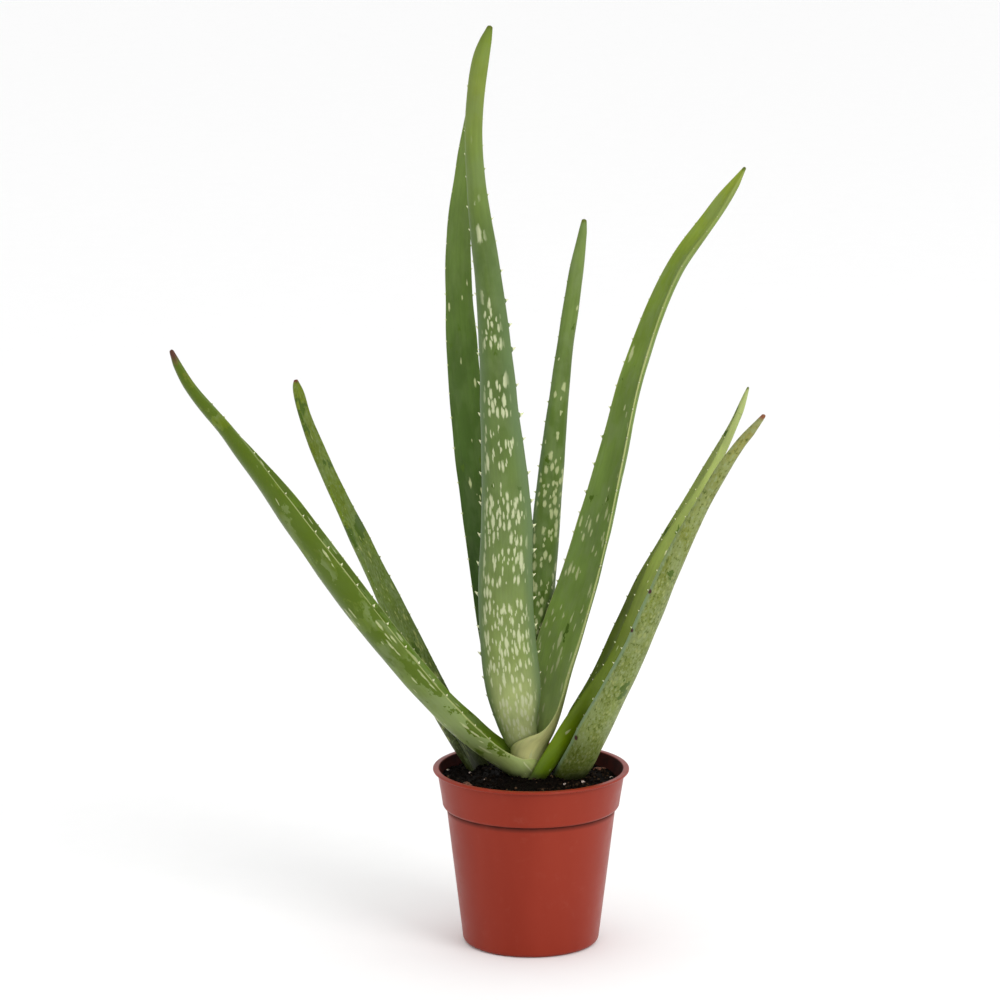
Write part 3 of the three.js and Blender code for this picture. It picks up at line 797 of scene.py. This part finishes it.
def arc(centre_radius, centre_z, radius, start, end, steps):
    """Points of an arc in the half-plane of the profile, in degrees."""
    angles = [math.radians(start + (end - start) * i / steps) for i in range(steps + 1)]
    return [(centre_radius + radius * math.cos(a), centre_z + radius * math.sin(a)) for a in angles]


def inside_share(place):
    """1 on the pot's inner wall below the rim, 0 outside."""
    climb = (place.z - COLLAR_LOW_Z) / (POT_HEIGHT - COLLAR_LOW_Z)
    wall = COLLAR_LOW_RADIUS + climb * (COLLAR_TOP_RADIUS - COLLAR_LOW_RADIUS)
    in_wall = 1.0 if math.hypot(place.x, place.y) < wall - 0.6 * POT_WALL else 0.0
    return in_wall if COLLAR_LOW_Z - 3 < place.z < POT_HEIGHT - 0.2 else 0.0


def make_pot():
    """Extruded ring by ring from the foot, out over the lip and down inside."""
    shoulder_z = COLLAR_LOW_Z - SHOULDER_DROP
    lip = LIP_THICKNESS / 2
    outside = [
        *arc(BODY_LOW_RADIUS - FOOT_ROUND, FOOT_ROUND, FOOT_ROUND, -90, -6, 8),
        (BODY_TOP_RADIUS - 0.2, shoulder_z - 3),
        (BODY_TOP_RADIUS, shoulder_z),
        *arc(COLLAR_LOW_RADIUS - SHOULDER_DROP, COLLAR_LOW_Z, SHOULDER_DROP, -80, 0, 8),
        (COLLAR_LOW_RADIUS + 0.6, COLLAR_LOW_Z + 4),
        (COLLAR_TOP_RADIUS - 0.3, POT_HEIGHT - LIP_THICKNESS - 2),
        (COLLAR_TOP_RADIUS, POT_HEIGHT - LIP_THICKNESS - 0.2),
        (COLLAR_TOP_RADIUS + 0.4, POT_HEIGHT - LIP_THICKNESS),
    ]
    rim = arc(LIP_RADIUS - lip, POT_HEIGHT - lip, lip, -90, 90, 10)
    inside = [
        (COLLAR_TOP_RADIUS - POT_WALL + 0.5, POT_HEIGHT),
        (COLLAR_TOP_RADIUS - POT_WALL, POT_HEIGHT - 0.5),
        (COLLAR_TOP_RADIUS - POT_WALL - 0.1, POT_HEIGHT - 1.5),
        (COLLAR_LOW_RADIUS - POT_WALL, COLLAR_LOW_Z),
        (BODY_TOP_RADIUS - POT_WALL, shoulder_z),
        (BODY_LOW_RADIUS - POT_WALL, FOOT_ROUND),
        (BODY_LOW_RADIUS - POT_WALL - FOOT_ROUND / 2, POT_WALL),
    ]
    profile = [*outside, *rim, *inside]
    first_radius, first_z = profile[0]
    bpy.ops.mesh.primitive_circle_add(
        vertices=POT_FACETS, radius=first_radius * MM, fill_type="NGON", location=(0, 0, first_z * MM))
    pot = started("nursery_pot")
    activate(pot)
    bpy.ops.object.transform_apply(location=True, rotation=True, scale=True)
    editing(pot, "FACE")
    bpy.ops.mesh.select_all(action="SELECT")
    bpy.ops.mesh.duplicate()
    radius, z = first_radius, first_z
    for next_radius, next_z in profile[1:]:
        bpy.ops.mesh.extrude_region_move(TRANSFORM_OT_translate={"value": (0, 0, (next_z - z) * MM)})
        grow = next_radius / radius
        bpy.ops.transform.resize(value=(grow, grow, 1), center_override=(0, 0, next_z * MM))
        radius, z = next_radius, next_z
    done_editing()
    clean_mesh(pot)
    drill_pot(pot)
    set_values(pot.data, "inside", [inside_share(vertex.co / MM) for vertex in pot.data.vertices])
    shade_smooth(pot, 38)
    settle(pot, pot_finish(), "pot_plastic", "pot")


def drill_pot(pot):
    """Drainage holes through the foot."""
    drills = []
    for i in range(DRAIN_HOLES):
        turn = 2 * math.pi * i / DRAIN_HOLES
        place = (DRAIN_CIRCLE * MM * math.cos(turn), DRAIN_CIRCLE * MM * math.sin(turn), 0)
        bpy.ops.mesh.primitive_cylinder_add(
            vertices=32, radius=DRAIN_RADIUS * MM, depth=8 * MM, location=place)
        drills.append(started("drill"))
    activate(drills[0])
    for drill in drills[1:]:
        drill.select_set(True)
    bpy.ops.object.join()
    apply_modifier(pot, "BOOLEAN", operation="DIFFERENCE", solver="EXACT", object=drills[0])
    bpy.data.objects.remove(drills[0])


# ---------------------------------------------------------------- potting mix

def mix_height(x, y):
    """The mix's surface in millimetres, with its lumps and the heap at the stem."""
    place = Vector((x, y, 0))
    lumps = 1.0 * noise.noise(place / 9) + 0.6 * noise.noise(place / 3.2 + Vector((5, 0, 0)))
    heap = 1.6 * smooth_step(math.hypot(x - 1, y - 1), 20, 9)
    return plain_mix_height(x, y) + lumps + heap


def scatter(sources, count, rng, reach, place_copy):
    """Copies of a few modelled shapes, each copy with its own mesh."""
    copies = []
    for _ in range(count):
        radius = reach * math.sqrt(rng.random())
        turn = rng.uniform(0, 2 * math.pi)
        x, y = radius * math.cos(turn), radius * math.sin(turn)
        source = rng.choice(sources)
        mesh = source.data.copy()
        matrix, tint = place_copy(x, y, rng)
        mesh.transform(matrix)
        set_values(mesh, "tint", [tint] * len(mesh.vertices))
        copy = bpy.data.objects.new("scattered", mesh)
        bpy.context.scene.collection.objects.link(copy)
        copies.append(copy)
    return copies


def rough_stone(name, seed, detail, depth):
    """A ball a unit in radius, made uneven."""
    bpy.ops.mesh.primitive_ico_sphere_add(subdivisions=detail, radius=1.0)
    stone = started(name)
    shift = Vector((seed, seed, seed))
    for vertex in stone.data.vertices:
        push = noise.noise(vertex.co * 1.3 + shift) + 0.5 * noise.noise(vertex.co * 3.1 + shift)
        vertex.co *= 1 + depth * push
    return stone


def bent_fibre(name, bend):
    """A thin root hair, two units long."""
    bpy.ops.mesh.primitive_cylinder_add(vertices=5, radius=0.035, depth=2, rotation=(0, math.pi / 2, 0))
    fibre = started(name)
    activate(fibre)
    bpy.ops.object.transform_apply(location=True, rotation=True, scale=True)
    editing(fibre, "EDGE")
    bpy.ops.mesh.select_all(action="SELECT")
    bpy.ops.mesh.subdivide(number_cuts=5)
    done_editing()
    for vertex in fibre.data.vertices:
        vertex.co.y += bend * vertex.co.x**2
        vertex.co.z += 0.12 * math.sin(3 * vertex.co.x)
    return fibre


def make_mix():
    bpy.ops.mesh.primitive_grid_add(x_subdivisions=MIX_CELLS, y_subdivisions=MIX_CELLS, size=2)
    mix = started("peat_surface")
    for vertex in mix.data.vertices:
        x, y = vertex.co.x, vertex.co.y
        disc_x = x * math.sqrt(1 - y * y / 2) * MIX_TOP_RADIUS
        disc_y = y * math.sqrt(1 - x * x / 2) * MIX_TOP_RADIUS
        vertex.co = Vector((disc_x, disc_y, mix_height(disc_x, disc_y))) * MM
    clearance = POT_WALL + 0.3
    walls = [
        (COLLAR_LOW_RADIUS - clearance, COLLAR_LOW_Z),
        (BODY_TOP_RADIUS - clearance, COLLAR_LOW_Z - SHOULDER_DROP),
        (BODY_LOW_RADIUS - clearance, FOOT_ROUND + 0.3),
        (BODY_LOW_RADIUS - clearance - FOOT_ROUND / 2, clearance),
    ]
    editing(mix, "EDGE")
    bpy.ops.mesh.select_non_manifold()
    for radius, z in walls:
        bpy.ops.mesh.extrude_edges_move()
        mesh = bmesh.from_edit_mesh(mix.data)
        for vertex in mesh.verts:
            if vertex.select:
                flat = Vector((vertex.co.x, vertex.co.y, 0)).normalized() * radius * MM
                vertex.co = Vector((flat.x, flat.y, z * MM))
        bmesh.update_edit_mesh(mix.data)
    bpy.ops.mesh.edge_face_add()
    done_editing()
    set_values(mix.data, "tint", [0.0] * len(mix.data.vertices))
    clean_mesh(mix)

    rng = random.Random(11)
    crumbs = [rough_stone(f"crumb_{i}", 3.7 * i + 1, 1 if i < 3 else 2, 0.55) for i in range(5)]
    fibres = [bent_fibre(f"fibre_{i}", bend) for i, bend in enumerate((0.1, -0.22, 0.35))]

    def place_crumb(x, y, rng):
        size = rng.choice((0.25, 0.35, 0.45, 0.6, 0.9)) * rng.uniform(0.8, 1.3)
        shape = Matrix.Diagonal((size, size * rng.uniform(0.6, 1), size * rng.uniform(0.5, 0.9), 1))
        turn = Euler([rng.uniform(0, 6.28) for _ in range(3)]).to_matrix().to_4x4()
        place = Matrix.Translation(Vector((x, y, mix_height(x, y) + 0.25 * size)) * MM)
        # Crumbs get paler towards +X.
        paler_rightward = 0.1 + 0.9 * smooth_step(x, 5, 32)
        tint = paler_rightward * rng.choice((0, 0.03, 0.06, 0.2, 0.45)) if rng.random() > 0.02 else 0.7
        return place @ turn @ Matrix.Scale(MM, 4) @ shape, tint

    def place_fibre(x, y, rng):
        length = rng.uniform(1.5, 4.5)
        turn = Euler((rng.uniform(-0.5, 0.5), rng.uniform(-0.3, 0.3), rng.uniform(0, 6.28)))
        place = Matrix.Translation(Vector((x, y, mix_height(x, y) + 0.5)) * MM)
        return place @ turn.to_matrix().to_4x4() @ Matrix.Scale(length * MM, 4), rng.uniform(0.2, 0.8)

    copies = scatter(crumbs, CRUMBS, rng, MIX_TOP_RADIUS - 1.2, place_crumb)
    copies += scatter(fibres, FIBRES, rng, MIX_TOP_RADIUS - 6, place_fibre)
    activate(mix)
    for copy in copies:
        copy.select_set(True)
    bpy.ops.object.join()
    for source in (*crumbs, *fibres):
        bpy.data.objects.remove(source)
    shade_smooth(mix, 50)
    settle(mix, mix_finish(), "potting_mix", "potting_mix")


def make_grain(name, node, grain, seed, detail, depth, material, slot):
    """A perlite grain or a bark chip, half sunk in the mix where the solid one lies."""
    size, flat_b, flat_c, turn = grain
    low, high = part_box(node)
    stone = rough_stone(name, seed, detail, depth)
    shape = Matrix.Diagonal((size * MM, size * flat_b * MM, size * flat_c * MM, 1))
    spin = Matrix.Rotation(math.radians(turn), 4, "Z")
    stone.data.transform(Matrix.Translation((low + high) / 2) @ spin @ shape)
    shade_smooth(stone, 35)
    settle(stone, material, slot, node)


# ---------------------------------------------------------------- studio

def make_camera():
    data = bpy.data.cameras.new("camera")
    data.lens = CAMERA_LENS
    data.sensor_width = 36
    data.clip_end = 60
    camera = bpy.data.objects.new("camera", data)
    camera.location = CAMERA_PLACE
    camera.rotation_euler = (math.radians(90 - CAMERA_PITCH), 0, 0)
    bpy.context.scene.collection.objects.link(camera)
    bpy.context.scene.camera = camera


def add_light(name, place, target, size, power):
    data = bpy.data.lights.new(name, "AREA")
    data.size = size
    data.energy = power
    light = bpy.data.objects.new(name, data)
    light.location = place
    light.rotation_euler = (Vector(target) - Vector(place)).to_track_quat("-Z", "Y").to_euler()
    bpy.context.scene.collection.objects.link(light)


def make_studio():
    world = bpy.data.worlds.new("studio")
    world.use_nodes = True
    world.node_tree.nodes["Background"].inputs[0].default_value = (1, 1, 1, 1)
    world.node_tree.nodes["Background"].inputs[1].default_value = WORLD_STRENGTH
    scene = bpy.context.scene
    scene.world = world
    scene.view_settings.view_transform = "Standard"
    add_light("key", KEY_PLACE, KEY_AIM, KEY_SIZE, KEY_POWER)
    bpy.ops.mesh.primitive_plane_add(size=FLOOR_SIZE, location=(0, 4, 0))
    floor = started("floor")
    floor.data.transform(Matrix.Translation(floor.location))
    floor.location = (0, 0, 0)
    finish = Finish("pale_floor")
    speck = finish.noise(finish.place(), 40.0, 2.0)
    finish.set(Base_Color=finish.mix(speck, (0.93, 0.93, 0.93, 1), (0.95, 0.95, 0.95, 1)), Roughness=0.8)
    floor.data.materials.append(finish.material)


# ---------------------------------------------------------------- the whole plant

make_camera()
make_studio()
make_pot()
make_mix()

tooth = model_tooth()
for number, name in enumerate(STATIONS):
    make_leaf(name, 10 + number, tooth)
bpy.data.objects.remove(tooth)

perlite = grain_finish("expanded_grain", (150, 128, 116), (214, 198, 188), 1400.0)
bark = grain_finish("bark_flake", (70, 44, 30), (140, 88, 66), 600.0)
for number, grain in enumerate(PERLITE, 1):
    make_grain(f"grain_{number}", f"perlite_{number}", grain, 2.3 * number, 3, 0.3, perlite, "perlite")
for number, chip in enumerate(BARK_CHIPS, 1):
    make_grain(f"chip_{number}", f"bark_chip_{number}", chip, 4.1 * number, 3, 0.35, bark, "bark")

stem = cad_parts["stem"]
stem.data.materials.clear()
stem.data.materials.append(grain_finish("stem_tissue", (120, 118, 74), (168, 164, 112), 300.0))
